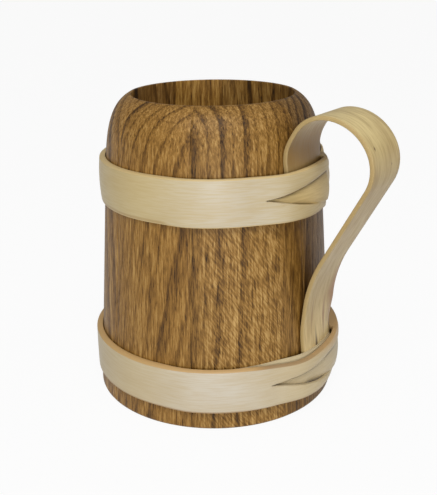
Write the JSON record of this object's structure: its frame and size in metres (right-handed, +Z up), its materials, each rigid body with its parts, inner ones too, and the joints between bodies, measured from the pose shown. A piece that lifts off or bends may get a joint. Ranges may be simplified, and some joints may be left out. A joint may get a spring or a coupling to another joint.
{
  "type": "wooden tankard",
  "caption": "Wooden tankard of oak staves with a rounded shoulder, bound by pale wooden hoops that lock into themselves, with a bent flat strip for a handle.",
  "frame": {"origin": "centre of the foot, where the tankard stands", "axes": "+Z up along the tankard's axis, +X out to the handle"},
  "size_m": [0.1511, 0.1213, 0.145],
  "materials": {
    "oak": "satin oiled oak",
    "hoop_wood": "smooth pale bent wood",
    "handle_wood": "smooth pale bent wood"
  },
  "bodies": {
    "root": {"stave_1": "oak", "stave_2": "oak", "stave_3": "oak", "stave_4": "oak", "stave_5": "oak", "stave_6": "oak", "stave_7": "oak", "stave_8": "oak", "bottom_board": "oak", "upper_hoop": "hoop_wood", "lower_hoop": "hoop_wood", "handle": "handle_wood"}
  },
  "joints": []
}
